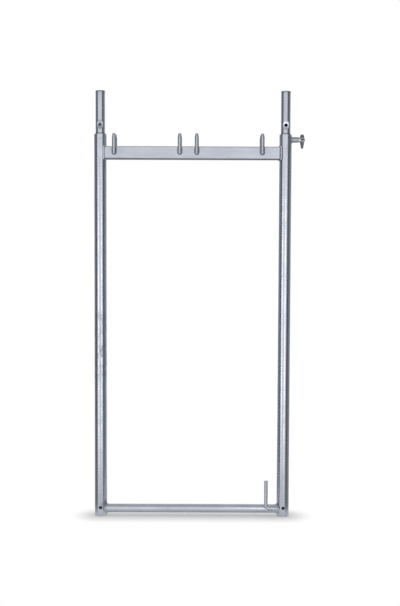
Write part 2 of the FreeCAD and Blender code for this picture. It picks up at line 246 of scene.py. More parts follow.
def zinc_material(name, stretch, peel_height, dirt, rougher=0.0):
    """Hot-dip galvanised steel: bluish grey crystals, long runs of zinc and a lumpy skin.

    The eye gets a satin metal whose highlights have ragged edges. The stretch is the pattern's
    scale along X, Y and Z, small along the way the zinc ran. Rougher is added to the zinc's mean
    roughness. Each function in darkening adds the nodes that say where the zinc is darker and
    rougher: some for stains and scuffs, some for painted shade.
    """
    zinc = settings().zinc
    roughness = zinc.roughness + rougher
    material, tree = new_material(name)
    place = add(tree, "ShaderNodeTexCoord").outputs["Object"]
    along = add(tree, "ShaderNodeMapping", {"Vector": place, "Scale": stretch})
    spangle = add(tree, "ShaderNodeTexVoronoi", {"Vector": place, "Scale": 1 / zinc.spangle})
    clouds = add(tree, "ShaderNodeTexNoise", {"Vector": place, "Scale": 1 / zinc.clouds, "Detail": 3.0})
    runs = add(tree, "ShaderNodeTexNoise", {"Vector": along, "Scale": 1 / zinc.run_width, "Detail": 2.0})
    patchy = add(tree, "ShaderNodeMix", {
        "Factor": zinc.cloud_share, "A": spangle.outputs["Color"], "B": clouds,
    }, data_type="FLOAT")
    blend = add(tree, "ShaderNodeMix", {"Factor": zinc.run_share, "A": patchy, "B": runs}, data_type="FLOAT")
    tone = add(tree, "ShaderNodeMapRange", {"Value": blend, "From Min": 0.36, "From Max": 0.64})
    skin = add(tree, "ShaderNodeMix", {
        "Factor": tone, COLOUR_A: zinc.dark, COLOUR_B: zinc.light,
    }, data_type="RGBA")
    # Stains and painted shade alike darken the zinc and make it rougher
    darkened = 0.0
    for mask in dirt:
        darkened = add(tree, "ShaderNodeMath", (darkened, mask(tree, place, runs)), operation="MAXIMUM")
    skin = add(tree, "ShaderNodeMix", {
        "Factor": darkened, COLOUR_A: skin, COLOUR_B: zinc.grime_and_shade,
    }, data_type="RGBA")
    polish = add(tree, "ShaderNodeMapRange", {
        "Value": tone, "To Min": roughness + zinc.spread, "To Max": roughness - zinc.spread,
    })
    polish = add(tree, "ShaderNodeMath", (darkened, zinc.dullness, polish), operation="MULTIPLY_ADD")
    lumps = add(tree, "ShaderNodeTexNoise", {"Vector": along, "Scale": 1 / zinc.peel, "Detail": 1.0})
    bump = add(tree, "ShaderNodeBump", {"Strength": 1.0, "Distance": peel_height, "Height": lumps})
    shader = add(tree, "ShaderNodeBsdfPrincipled", {
        "Base Color": skin, "Metallic": 1.0, "Roughness": polish, "Normal": bump,
    })
    add(tree, "ShaderNodeOutputMaterial", {"Surface": shader})
    return material


def distance_from_line(tree, place, point, across):
    """Distance from a line through a point. Across is 1 on the two axes that the line crosses."""
    away = add(tree, "ShaderNodeVectorMath", (place, point), operation="SUBTRACT")
    away = add(tree, "ShaderNodeVectorMath", (away, across), operation="MULTIPLY")
    return add(tree, "ShaderNodeVectorMath", (away,), operation="LENGTH")


# Kinds of darkening, stains and painted shade alike. All get the place and the runs, though not all need both

def underside_painted_shade(tree, place, runs):
    """Painted shade on the faces that look down."""
    normal = add(tree, "ShaderNodeNewGeometry").outputs["Normal"]
    upward = add(tree, "ShaderNodeSeparateXYZ", (normal,)).outputs["Z"]
    return add(tree, "ShaderNodeMapRange", {
        "Value": upward, "From Min": -0.75, "From Max": -0.2, "To Min": 0.4, "To Max": 0.0,
    })


def film_dirt(tree, place, runs):
    """Thin grey film on the deck pins, streaked along them."""
    return add(tree, "ShaderNodeMapRange", {"Value": runs, "To Min": 0.1, "To Max": 0.28})


def near_floor_darkening(tree, place, runs):
    """Darker zinc low on the frame, ragged, fading out up its feet."""
    height = add(tree, "ShaderNodeSeparateXYZ", (place,)).outputs["Z"]
    ragged = add(tree, "ShaderNodeMath", (runs, -50 * MM, height), operation="MULTIPLY_ADD")
    return add(tree, "ShaderNodeMapRange", {
        "Value": ragged, "From Min": 0.0, "From Max": 220 * MM, "To Min": 0.08, "To Max": 0.0,
    })


def inside_painted_shade(tree, place, runs):
    """Painted shade inside the standards, which shows in the lock holes of their feet."""
    dark = 0.0
    for node in ("inner_standard", "outer_standard"):
        axis, radius = tube_of(node)
        reach = distance_from_line(tree, place, (axis, 0, 0), (1, 1, 0))
        inside = add(tree, "ShaderNodeMapRange", {
            "Value": reach, "From Min": radius - 2.6 * MM, "From Max": radius - 1.6 * MM,
            "To Min": 0.7, "To Max": 0.0,
        })
        dark = add(tree, "ShaderNodeMath", (dark, inside), operation="MAXIMUM")
    return dark


def joint_painted_shade(tree, place, runs):
    """Painted shade on the inner standard, over the bead of the bottom rail."""
    axis = tube_of("inner_standard")[0]
    over = Vector((axis + 22 * MM, -14 * MM, middle_of("bottom_rail").z + 14 * MM))
    away = add(tree, "ShaderNodeVectorMath", (place, over), operation="DISTANCE")
    ragged = add(tree, "ShaderNodeMath", (runs, -8 * MM, away), operation="MULTIPLY_ADD")
    return add(tree, "ShaderNodeMapRange", {
        "Value": ragged, "From Min": 10 * MM, "From Max": 26 * MM, "To Min": 0.5, "To Max": 0.0,
    })


def scuff_dirt(tree, place, runs):
    """Grey streaks where the zinc is scuffed, halfway up the inner standard."""
    middle = (tube_of("inner_standard")[0], 0, 670 * MM)
    away = add(tree, "ShaderNodeVectorMath", (place, middle), operation="DISTANCE")
    near = add(tree, "ShaderNodeMapRange", {
        "Value": away, "From Min": 80 * MM, "From Max": 160 * MM, "To Min": 1.0, "To Max": 0.0,
    })
    streaks = add(tree, "ShaderNodeMapping", {"Vector": place, "Scale": (1, 1, 0.35)})
    streaks = add(tree, "ShaderNodeTexNoise", {"Vector": streaks, "Scale": 1 / (9 * MM), "Detail": 2.0})
    streaks = add(tree, "ShaderNodeMapRange", {
        "Value": streaks, "From Min": 0.45, "From Max": 0.65, "To Max": 0.4,
    })
    return add(tree, "ShaderNodeMath", (near, streaks), operation="MULTIPLY")


def shoulder_darkening(tree, place, runs):
    """Darker ring on a spigot just above where it leaves the standard, ragged at its upper edge."""
    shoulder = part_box("inner_standard")[1].z
    height = add(tree, "ShaderNodeSeparateXYZ", (place,)).outputs["Z"]
    ragged = add(tree, "ShaderNodeMath", (runs, -3 * MM, height), operation="MULTIPLY_ADD")
    return add(tree, "ShaderNodeMapRange", {
        "Value": ragged, "From Min": shoulder + 1.5 * MM, "From Max": shoulder + 3.5 * MM,
        "To Min": 0.8, "To Max": 0.0,
    })


def nose_darkening(tree, place, runs):
    """Darker towards a spigot's top end, with a faint even darkening below."""
    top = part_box("inner_spigot")[1].z
    height = add(tree, "ShaderNodeSeparateXYZ", (place,)).outputs["Z"]
    return add(tree, "ShaderNodeMapRange", {
        "Value": height, "From Min": top - 12 * MM, "From Max": top - 2 * MM,
        "To Min": 0.05, "To Max": 0.45,
    })


def bore_painted_shade(tree, place, runs):
    """Painted shade inside the outer spigot, as far as the walls of its lock hole."""
    reach = distance_from_line(tree, place, (tube_of("outer_spigot")[0], 0, 0), (1, 1, 0))
    depth = add(tree, "ShaderNodeSeparateXYZ", (place,)).outputs["Y"]
    inside = add(tree, "ShaderNodeMapRange", {
        "Value": reach, "From Min": 15.5 * MM, "From Max": 16.5 * MM, "To Min": 1.0, "To Max": 0.0,
    })
    behind = add(tree, "ShaderNodeMapRange", {
        "Value": depth, "From Min": -14.4 * MM, "From Max": -13.6 * MM,
    })
    return add(tree, "ShaderNodeMath", (inside, behind), operation="MULTIPLY")


def dish_painted_shade(tree, place, runs):
    """Painted shade in the lower half of the inner spigot's dish, beside and below its lock hole."""
    axis, radius = tube_of("inner_spigot")
    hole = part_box("inner_standard")[1].z + LOCK_HOLE_RISE
    away = add(tree, "ShaderNodeVectorMath", (place, (axis, -radius, hole)), operation="DISTANCE")
    near = add(tree, "ShaderNodeMapRange", {
        "Value": away, "From Min": 12 * MM, "From Max": 15 * MM, "To Min": 0.4, "To Max": 0.0,
    })
    height = add(tree, "ShaderNodeSeparateXYZ", (place,)).outputs["Z"]
    below = add(tree, "ShaderNodeMapRange", {
        "Value": height, "From Min": hole - 2 * MM, "From Max": hole + 4 * MM, "To Min": 1.0, "To Max": 0.0,
    })
    return add(tree, "ShaderNodeMath", (near, below), operation="MULTIPLY")


def seam_painted_shade(tree, place, runs):
    """Ragged line of painted shade on the transom along the bead at its outer end, drawn wide enough to show.
    """
    axis = tube_of("outer_standard")[0]
    along = add(tree, "ShaderNodeSeparateXYZ", (place,)).outputs["X"]
    from_axis = add(tree, "ShaderNodeMath", (axis, along), operation="SUBTRACT")
    spatter = add(tree, "ShaderNodeTexNoise", {"Vector": place, "Scale": 1 / (9 * MM), "Detail": 2.0})
    ragged = add(tree, "ShaderNodeMath", (spatter, 9 * MM, from_axis), operation="MULTIPLY_ADD")
    return add(tree, "ShaderNodeMapRange", {
        "Value": ragged, "From Min": 28 * MM, "From Max": 30.5 * MM, "To Min": 0.75, "To Max": 0.0,
    })


def corner_painted_shade(tree, place, runs):
    """Painted shade along the transom's rounded edges, darker below, and a faint even darkening between."""
    low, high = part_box("transom")
    height = add(tree, "ShaderNodeSeparateXYZ", (place,)).outputs["Z"]
    lower = add(tree, "ShaderNodeMapRange", {
        "Value": height, "From Min": low.z + 3 * MM, "From Max": low.z + 5 * MM,
        "To Min": 0.75, "To Max": 0.04,
    })
    upper = add(tree, "ShaderNodeMapRange", {
        "Value": height, "From Min": high.z - 4 * MM, "From Max": high.z - 2 * MM, "To Max": 0.25,
    })
    return add(tree, "ShaderNodeMath", (lower, upper), operation="MAXIMUM")


def recess_shade_and_dull_shank(tree, place, runs):
    """Painted shade in the slot and recesses of the stud's head, and a duller shank."""
    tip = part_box("guardrail_stud")[1].x
    reach = distance_from_line(tree, place, (0, 0, middle_of("guardrail_stud").z), (0, 1, 1))
    slot = add(tree, "ShaderNodeMapRange", {
        "Value": reach, "From Min": 7.8 * MM, "From Max": 8.6 * MM, "To Min": 1.0, "To Max": 0.0,
    })
    along = add(tree, "ShaderNodeSeparateXYZ", (place,)).outputs["X"]
    shank = add(tree, "ShaderNodeMapRange", {
        "Value": along, "From Min": tip - 24 * MM, "From Max": tip - 22 * MM, "To Min": 0.32, "To Max": 0.0,
    })
    return add(tree, "ShaderNodeMath", (slot, shank), operation="MAXIMUM")


def bead_painted_shade(tree, place, runs):
    """Painted shade along both edges of a weld bead and in its valleys, drawn wide enough to show."""
    return add(tree, "ShaderNodeAttribute", attribute_name="edge").outputs["Fac"]


def finger_material():
    """Blackened forged steel: dark brown-grey scale in patches, duller than the zinc around it."""
    finger = settings().finger
    material, tree = new_material("blackened_forged_steel")
    place = add(tree, "ShaderNodeTexCoord").outputs["Object"]
    scale = add(tree, "ShaderNodeTexNoise", {"Vector": place, "Scale": 1 / finger.scale, "Detail": 4.0})
    worn = add(tree, "ShaderNodeMapRange", {"Value": scale, "From Min": 0.45, "From Max": 0.75})
    skin = add(tree, "ShaderNodeMix", {
        "Factor": worn, COLOUR_A: finger.black, COLOUR_B: finger.worn,
    }, data_type="RGBA")
    polish = add(tree, "ShaderNodeMapRange", {
        "Value": scale,
        "To Min": finger.roughness + finger.spread, "To Max": finger.roughness - finger.spread,
    })
    bump = add(tree, "ShaderNodeBump", {"Strength": 0.6, "Distance": finger.pitting, "Height": scale})
    shader = add(tree, "ShaderNodeBsdfPrincipled", {
        "Base Color": skin, "Metallic": 1.0, "Roughness": polish, "Normal": bump,
    })
    add(tree, "ShaderNodeOutputMaterial", {"Surface": shader})
    return material


def dress(nodes, material):
    """Give CAD nodes a finish."""
    for node in nodes:
        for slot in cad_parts[node].material_slots:
            slot.material = material


def bead_tree():
    """Geometry Nodes tree that lays a rippled weld bead along a path of edges.

    The path's points say which way the bead stands out (crown), and how far round from there its
    edges lie (edge_at, a cosine).
    """
    tree = bpy.data.node_groups.new("weld_bead", "GeometryNodeTree")
    tree.interface.new_socket("Geometry", in_out="INPUT", socket_type="NodeSocketGeometry")
    for name in ("Bead Radius", "Ripple Pitch", "Ripple Depth", "Wander", "Lump Length", "Ripple Bow",
                 "Crown Flat", "End Taper", "Dirt", "Seed"):
        tree.interface.new_socket(name, in_out="INPUT", socket_type="NodeSocketFloat")
    tree.interface.new_socket("Sides", in_out="INPUT", socket_type="NodeSocketInt")
    tree.interface.new_socket("Material", in_out="INPUT", socket_type="NodeSocketMaterial")
    tree.interface.new_socket("Geometry", in_out="OUTPUT", socket_type="NodeSocketGeometry")
    given = add(tree, "NodeGroupInput").outputs

    # Path, ten points to a ripple, with what the bead's points need to know of it
    curve = add(tree, "GeometryNodeMeshToCurve", {"Mesh": given["Geometry"]})
    step = add(tree, "ShaderNodeMath", (given["Ripple Pitch"], 10.0), operation="DIVIDE")
    curve = add(tree, "GeometryNodeResampleCurve", {"Curve": curve, "Length": step}, mode="LENGTH")
    run = add(tree, "GeometryNodeSplineParameter").outputs["Length"]
    total = add(tree, "GeometryNodeSplineLength").outputs["Length"]
    rest = add(tree, "ShaderNodeMath", (total, run), operation="SUBTRACT")
    nearest_end = add(tree, "ShaderNodeMath", (run, rest), operation="MINIMUM")
    crown = add(tree, "GeometryNodeInputNamedAttribute", {"Name": "crown"}, data_type="FLOAT_VECTOR")
    edge_at = add(tree, "GeometryNodeInputNamedAttribute", {"Name": "edge_at"}, data_type="FLOAT")
    seam = add(tree, "GeometryNodeInputPosition")
    kept = add(tree, "GeometryNodeCaptureAttribute", {"Geometry": curve})
    for name, kind, value in (
        ("run", "FLOAT", run),
        ("nearest_end", "FLOAT", nearest_end.outputs["Value"]),
        ("crown", "VECTOR", crown.outputs["Attribute"]),
        ("edge_at", "FLOAT", edge_at.outputs["Attribute"]),
        ("seam", "VECTOR", seam.outputs["Position"]),
    ):
        kept.capture_items.new(kind, name)
        tree.links.new(value, kept.inputs[name])
    path = kept.outputs
    ring = add(tree, "GeometryNodeCurvePrimitiveCircle", {
        "Resolution": given["Sides"], "Radius": given["Bead Radius"],
    })
    tube = add(tree, "GeometryNodeCurveToMesh", {
        "Curve": path["Geometry"], "Profile Curve": ring, "Fill Caps": True,
    })

    # Ripples, which trail at the bead's edges and rise a fifth of their depth over its radius
    place = add(tree, "GeometryNodeInputPosition")
    spoke = add(tree, "ShaderNodeVectorMath", (place, path["seam"]), operation="SUBTRACT")
    spoke = add(tree, "ShaderNodeVectorMath", (spoke,), operation="NORMALIZE")
    facing = add(tree, "ShaderNodeVectorMath", (spoke, path["crown"]), operation="DOT_PRODUCT")
    aside = add(tree, "ShaderNodeMath", (1.0, facing), operation="SUBTRACT")
    trail = add(tree, "ShaderNodeMath", (aside, given["Ripple Bow"], path["run"]), operation="MULTIPLY_ADD")
    phase = add(tree, "ShaderNodeMath", (trail, given["Ripple Pitch"]), operation="DIVIDE")
    phase = add(tree, "ShaderNodeMath", (phase, math.pi), operation="MULTIPLY")
    wave = add(tree, "ShaderNodeMath", (phase,), operation="SINE")
    wave = add(tree, "ShaderNodeMath", (wave,), operation="ABSOLUTE")
    ripple = add(tree, "ShaderNodeMath", (wave, 0.8), operation="SUBTRACT")
    face = add(tree, "ShaderNodeMath", (
        ripple, given["Ripple Depth"], given["Bead Radius"],
    ), operation="MULTIPLY_ADD")

    # Slow swellings along the bead
    swell = add(tree, "ShaderNodeMath", (1.0, given["Lump Length"]), operation="DIVIDE")
    swell = add(tree, "ShaderNodeTexNoise", {
        "Vector": path["seam"], "W": given["Seed"], "Scale": swell, "Detail": 1.0,
    }, noise_dimensions="4D")
    swell = add(tree, "ShaderNodeMapRange", {"Value": swell, "To Min": -1.0, "To Max": 1.0})
    face = add(tree, "ShaderNodeMath", (swell, given["Wander"], face), operation="MULTIPLY_ADD")

    # Section: flatter at the crown, drawn in at the root and rounded off at the ends
    root = add(tree, "ShaderNodeMapRange", {
        "Value": facing, "From Min": -0.4, "From Max": 0.2, "To Min": 0.35, "To Max": 1.0,
    })
    flat = add(tree, "ShaderNodeMath", (1.0, given["Crown Flat"]), operation="SUBTRACT")
    flat = add(tree, "ShaderNodeMapRange", {
        "Value": facing, "From Min": 0.55, "From Max": 1.0, "To Min": 1.0, "To Max": flat,
    })
    taper = add(tree, "ShaderNodeMapRange", {
        "Value": path["nearest_end"], "From Max": given["End Taper"], "To Min": 0.85, "To Max": 0.0,
    })
    taper = add(tree, "ShaderNodeMath", (taper, taper), operation="MULTIPLY")
    taper = add(tree, "ShaderNodeMath", (1.0, taper), operation="SUBTRACT")
    reach = add(tree, "ShaderNodeMath", (taper,), operation="SQRT")
    for share in (root, flat, face):
        reach = add(tree, "ShaderNodeMath", (reach, share), operation="MULTIPLY")
    moved = add(tree, "ShaderNodeVectorMath", {"Vector": spoke, "Scale": reach}, operation="SCALE")
    moved = add(tree, "ShaderNodeVectorMath", (path["seam"], moved), operation="ADD")
    bead = add(tree, "GeometryNodeSetPosition", {"Geometry": tube, "Position": moved})

    # Where the painted shade sits: the two edges, and half as much in the valleys
    inward = add(tree, "ShaderNodeMath", (facing, path["edge_at"]), operation="SUBTRACT")
    edge = add(tree, "ShaderNodeMapRange", {
        "Value": inward, "From Min": 0.02, "From Max": 0.2, "To Min": 1.0, "To Max": 0.0,
    })
    valley = add(tree, "ShaderNodeMapRange", {
        "Value": wave, "From Min": 0.1, "From Max": 0.5, "To Min": 0.5, "To Max": 0.0,
    })
    edge = add(tree, "ShaderNodeMath", (edge, valley), operation="MAXIMUM")
    edge = add(tree, "ShaderNodeMath", (edge, given["Dirt"]), operation="MULTIPLY")
    bead = add(tree, "GeometryNodeStoreNamedAttribute", {
        "Geometry": bead, "Name": "edge", "Value": edge,
    }, data_type="FLOAT", domain="POINT")
    bead = add(tree, "GeometryNodeSetShadeSmooth", {"Geometry": bead})
    bead = add(tree, "GeometryNodeRealizeInstances", {"Geometry": bead})
    bead = add(tree, "GeometryNodeSetMaterial", {"Geometry": bead, "Material": given["Material"]})
    add(tree, "NodeGroupOutput", {"Geometry": bead})
    return tree


def lay_bead(node, path, closed, radius, flat, seed, dirt):
    """Lay a bead along a path of (point, crown) pairs, in place of the weld's CAD node.

    A crown is the sum of the directions out of the two faces that the bead joins, so it says
    which way the bead stands out and how wide the corner under it is. Flat is how much of its
    radius the bead loses at the crown.
    """
    weld = settings().weld
    tree = bpy.data.node_groups.get("weld_bead") or bead_tree()
    material = bpy.data.materials.get("galvanised_weld_bead") or zinc_material(
        "galvanised_weld_bead", stretch=(1, 1, 1), peel_height=0.2 * MM,
        dirt=(underside_painted_shade, bead_painted_shade), rougher=0.06,
    )
    count = len(path)
    edges = [(i, (i + 1) % count) for i in range(count if closed else count - 1)]
    mesh = bpy.data.meshes.new(node + "_path")
    mesh.from_pydata([point for point, crown in path], edges, [])
    crowns = mesh.attributes.new("crown", "FLOAT_VECTOR", "POINT")
    for item, (point, crown) in zip(crowns.data, path):
        item.vector = crown.normalized()
    edges_at = mesh.attributes.new("edge_at", "FLOAT", "POINT")
    for item, (point, crown) in zip(edges_at.data, path):
        item.value = math.sqrt(max(0.0, 1 - crown.length_squared / 4))
    bead = bpy.data.objects.new(node + "_bead", mesh)
    bpy.context.scene.collection.objects.link(bead)
    modifier = bead.modifiers.new("weld_bead", "NODES")
    modifier.node_group = tree
    values = {
        "Bead Radius": radius,
        "Ripple Pitch": weld.pitch,
        "Ripple Depth": weld.depth,
        "Wander": weld.wander,
        "Lump Length": weld.lump,
        "Ripple Bow": weld.bow,
        "Crown Flat": flat,
        "End Taper": MICRON if closed else radius,
        "Dirt": dirt,
        "Seed": float(seed),
        "Sides": weld.sides,
        "Material": material,
    }
    for item in tree.interface.items_tree:
        if item.in_out == "INPUT" and item.name in values:
            modifier[item.identifier] = values[item.name]
    bpy.context.view_layer.update()
    solid = bpy.data.meshes.new_from_object(bead.evaluated_get(bpy.context.evaluated_depsgraph_get()))
    bead.modifiers.remove(modifier)
    bead.data = solid
    bpy.data.meshes.remove(mesh)
    solid.name = bead.name
    shell = bmesh.new()
    shell.from_mesh(solid)
    bmesh.ops.remove_doubles(shell, verts=shell.verts, dist=MICRON)
    bmesh.ops.recalc_face_normals(shell, faces=shell.faces)
    shell.to_mesh(solid)
    shell.free()
    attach(bead, "frame")
    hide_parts(node)


def round_outline(radius, height, steps):
    """Outline of a round bar that lies along X at a height."""
    turns = [2 * math.pi * i / steps for i in range(steps)]
    spokes = [(math.cos(turn), math.sin(turn)) for turn in turns]
    return [(radius * out_y, height + radius * out_z, out_y, out_z) for out_y, out_z in spokes]


def box_outline(node, corner, steps=8):
    """Outline of a rectangular bar that lies along X, round at its corners."""
    low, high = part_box(node)
    outline = []
    for quarter, (y, z) in enumerate((
        (high.y - corner, high.z - corner),
        (low.y + corner, high.z - corner),
        (low.y + corner, low.z + corner),
        (high.y - corner, low.z + corner),
    )):
        for i in range(steps + 1):
            turn = (quarter + i / steps) * math.pi / 2
            out_y, out_z = math.cos(turn), math.sin(turn)
            outline.append((y + corner * out_y, z + corner * out_z, out_y, out_z))
    return outline


def coped_seam(standard, side, outline, gap=0.0):
    """Path where a bar with the given outline meets a standard, or a gap further along the bar.

    The outline is a list of (y, z, across Y, across Z): points of the bar's section and the
    direction out of the bar there. The side is 1 where the bar runs to the right, else -1.
    """
    axis, radius = tube_of(standard)
    path = []
    for y, z, out_y, out_z in outline:
        reach = math.sqrt(radius ** 2 - y ** 2)
        out_of_tube = Vector((side * reach, y, 0)) / radius
        seam = Vector((axis + side * (reach + gap), y, z))
        path.append((seam, out_of_tube + Vector((0, out_y, out_z))))
    return path


def pin_seam(node, out, leg_steps=8, bend_steps=24):
    """Path down one side of a deck pin's foot, round below it and up the other side.

    Out is the way out of the transom's face along Y, 1 or -1.
    """
    low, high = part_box(node)
    half = (high.x - low.x) / 2 - PIN_BEAD_RADIUS
    plane = low.y + PIN_BEAD_RADIUS if out < 0 else high.y - PIN_BEAD_RADIUS
    bend = Vector(((low.x + high.x) / 2, plane, low.z + PIN_BEAD_RADIUS + half))
    leg = high.z - bend.z
    stations = [(-1, 0, leg * (1 - i / leg_steps)) for i in range(leg_steps)]
    for i in range(bend_steps + 1):
        turn = math.pi * (1 + i / bend_steps)
        stations.append((math.cos(turn), math.sin(turn), 0))
    stations += [(1, 0, leg * (i + 1) / leg_steps) for i in range(leg_steps)]
    return [
        (bend + Vector((across * half, 0, up * half + rise)), Vector((across, out, up)))
        for across, up, rise in stations
    ]


def toe_seam(node, side, steps=8):
    """Path between the rail and the toe-board pin's leg, on the upper side (1) or the lower (-1)."""
    rail_low, rail_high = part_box("bottom_rail")
    pin_low, pin_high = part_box("toe_board_pin")
    rail_radius = (rail_high.y - rail_low.y) / 2
    pin_radius = (pin_high.y - pin_low.y) / 2
    rail = Vector((0, 0, (rail_low.z + rail_high.z) / 2))
    leg = Vector((0, (pin_low.y + pin_high.y) / 2, pin_low.z + pin_radius))
    toward = (leg - rail).normalized()
    upward = Vector((0, toward.z, -toward.y))
    to_rail = rail_radius + TOE_BEAD_LIFT
    to_leg = pin_radius + TOE_BEAD_LIFT
    apart = (leg - rail).length
    ahead = (to_rail ** 2 - to_leg ** 2 + apart ** 2) / (2 * apart)
    aside = math.sqrt(to_rail ** 2 - ahead ** 2)
    line = rail + toward * ahead + upward * (side * aside)
    low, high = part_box(node)
    along = [low.x + (high.x - low.x) * i / steps for i in range(steps + 1)]
    return [(Vector((x, line.y, line.z)), upward * side) for x in along]


class SCAFFOLD_OT_standards(bpy.types.Operator):
    """Finish the two standards"""

    bl_idname = "scaffold.standards"
    bl_label = "Standards"

    def execute(self, context):
        dress(["inner_standard", "outer_standard"], zinc_material(
            "hot_dip_galvanised_tube", stretch=(1, 1, 0.2), peel_height=0.08 * MM,
            dirt=(near_floor_darkening, inside_painted_shade, joint_painted_shade, scuff_dirt),
        ))
        return {"FINISHED"}


class SCAFFOLD_OT_spigots(bpy.types.Operator):
    """Finish the two spigots"""

    bl_idname = "scaffold.spigots"
    bl_label = "Spigots"

    def execute(self, context):
        # Each spigot gets its own painted shade: in the inner one's dish, and inside the outer one's bore
        for end, own_shade in (("inner", dish_painted_shade), ("outer", bore_painted_shade)):
            dress([end + "_spigot"], zinc_material(
                "hot_dip_galvanised_" + end + "_spigot", stretch=(1, 1, 0.1), peel_height=0.12 * MM,
                dirt=(shoulder_darkening, nose_darkening, own_shade), rougher=0.03,
            ))
        return {"FINISHED"}


class SCAFFOLD_OT_crossbars(bpy.types.Operator):
    """Finish the transom and the bottom rail"""

    bl_idname = "scaffold.crossbars"
    bl_label = "Transom and rail"

    def execute(self, context):
        dress(["transom"], zinc_material(
            "hot_dip_galvanised_box_section", stretch=(0.05, 1, 1), peel_height=0.06 * MM,
            dirt=(underside_painted_shade, seam_painted_shade, corner_painted_shade), rougher=0.06,
        ))
        dress(["bottom_rail"], zinc_material(
            "hot_dip_galvanised_rail", stretch=(0.08, 1, 1), peel_height=0.12 * MM,
            dirt=(underside_painted_shade,), rougher=0.02,
        ))
        return {"FINISHED"}


class SCAFFOLD_OT_pins(bpy.types.Operator):
    """Finish the deck pins and the toe-board pin"""

    bl_idname = "scaffold.pins"
    bl_label = "Deck pins and toe-board pin"

    def execute(self, context):
        dress(["deck_pin_" + name for name in DECK_PINS], zinc_material(
            "hot_dip_galvanised_pin", stretch=(1, 1, 0.2), peel_height=0.08 * MM,
            dirt=(underside_painted_shade, film_dirt),
        ))
        dress(["toe_board_pin"], zinc_material(
            "hot_dip_galvanised_rod", stretch=(1, 1, 0.3), peel_height=0.12 * MM,
            dirt=(underside_painted_shade, near_floor_darkening), rougher=0.09,
        ))
        return {"FINISHED"}


class SCAFFOLD_OT_stud(bpy.types.Operator):
    """Finish the guardrail stud and the rivet in it"""

    bl_idname = "scaffold.stud"
    bl_label = "Guardrail stud"

    def execute(self, context):
        dress(["guardrail_stud", "finger_rivet"], zinc_material(
            "galvanised_turned_stud", stretch=(0.4, 1, 1), peel_height=0.1 * MM,
            dirt=(recess_shade_and_dull_shank,), rougher=0.03,
        ))
        return {"FINISHED"}


class SCAFFOLD_OT_finger(bpy.types.Operator):
    """Finish the tilting finger"""

    bl_idname = "scaffold.finger"
    bl_label = "Tilting finger"

    def execute(self, context):
        dress(["tilting_finger"], finger_material())
        return {"FINISHED"}


class SCAFFOLD_OT_joint_beads(bpy.types.Operator):
    """Lay the beads that join the transom, rail and stud to the standards"""

    bl_idname = "scaffold.joint_beads"
    bl_label = "Joint beads"

    def execute(self, context):
        weld = settings().weld
        rail_low, rail_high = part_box("bottom_rail")
        transom = box_outline("transom", TRANSOM_CORNER)
        rail_radius = (rail_high.y - rail_low.y) / 2
        rail = round_outline(rail_radius, middle_of("bottom_rail").z, steps=72)
        joints = (("inner", 1, 0.0, weld.inner_dirt), ("outer", -1, weld.outer_gap, weld.dirt))
        for seed, (end, side, gap, dirt) in enumerate(joints):
            standard = end + "_standard"
            lay_bead(
                "transom_weld_" + end, coped_seam(standard, side, transom, gap), closed=True,
                radius=weld.transom_radius, flat=0.0, seed=seed, dirt=dirt,
            )
            lay_bead(
                "rail_weld_" + end, coped_seam(standard, side, rail), closed=True,
                radius=weld.rail_radius, flat=0.1, seed=seed + 2, dirt=weld.dirt,
            )
        low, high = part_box("stud_weld")
        root = (high.z - low.z) / 2 - STUD_WELD_LEG
        stud = round_outline(root, middle_of("guardrail_stud").z, steps=60)
        lay_bead(
            "stud_weld", coped_seam("outer_standard", 1, stud), closed=True,
            radius=weld.stud_radius, flat=0.2, seed=4, dirt=weld.dirt,
        )
        return {"FINISHED"}


class SCAFFOLD_OT_pin_beads(bpy.types.Operator):
    """Lay the beads that hold the deck pins and the toe-board pin"""

    bl_idname = "scaffold.pin_beads"
    bl_label = "Pin beads"

    def execute(self, context):
        weld = settings().weld
        for seed, name in enumerate(DECK_PINS):
            node = "deck_pin_weld_" + name
            lay_bead(
                node, pin_seam(node, -1 if name.startswith("front") else 1), closed=False,
                radius=weld.pin_radius, flat=0.3, seed=10 + seed, dirt=weld.dirt,
            )
        for seed, (node, side) in enumerate((("toe_pin_weld_upper", 1), ("toe_pin_weld_lower", -1))):
            lay_bead(
                node, toe_seam(node, side), closed=False,
                radius=weld.toe_radius, flat=0.1, seed=30 + seed, dirt=weld.dirt,
            )
        return {"FINISHED"}


def stage_piece(name, place, material, build, **sizes):
    """Piece of the studio made by one of the mesh operators, with its faces turned to the frame."""
    shape = bmesh.new()
    build(shape, segments=96, **sizes)
    upright = [face for face in shape.faces if abs(face.normal.z) < 0.5]
    bmesh.ops.reverse_faces(shape, faces=upright)
    mesh = bpy.data.meshes.new(name)
    shape.to_mesh(mesh)
    shape.free()
    for face in mesh.polygons:
        face.use_smooth = True
    mesh.materials.append(material)
    piece = bpy.data.objects.new(name, mesh)
    piece.location = place
    bpy.context.scene.collection.objects.link(piece)


def ray_kinds(tree):
    """Camera rays and rays that metal mirrors or glass lets through, each 1 or 0."""
    ray = add(tree, "ShaderNodeLightPath").outputs
    mirrored = add(
        tree, "ShaderNodeMath", (ray["Is Glossy Ray"], ray["Is Transmission Ray"]), operation="MAXIMUM"
    )
    return ray["Is Camera Ray"], mirrored


def studio_surface(tree, colour, share, gone):
    """Matt surface of which a share shows its plain colour, and which is clear where it is gone."""
    matt = add(tree, "ShaderNodeBsdfDiffuse", {"Color": colour})
    plain = add(tree, "ShaderNodeEmission", {"Color": colour})
    surface = add(tree, "ShaderNodeMixShader", (share, matt, plain))
    clear = add(tree, "ShaderNodeBsdfTransparent")
    shown = add(tree, "ShaderNodeMixShader", (gone, surface, clear))
    add(tree, "ShaderNodeOutputMaterial", {"Surface": shown})


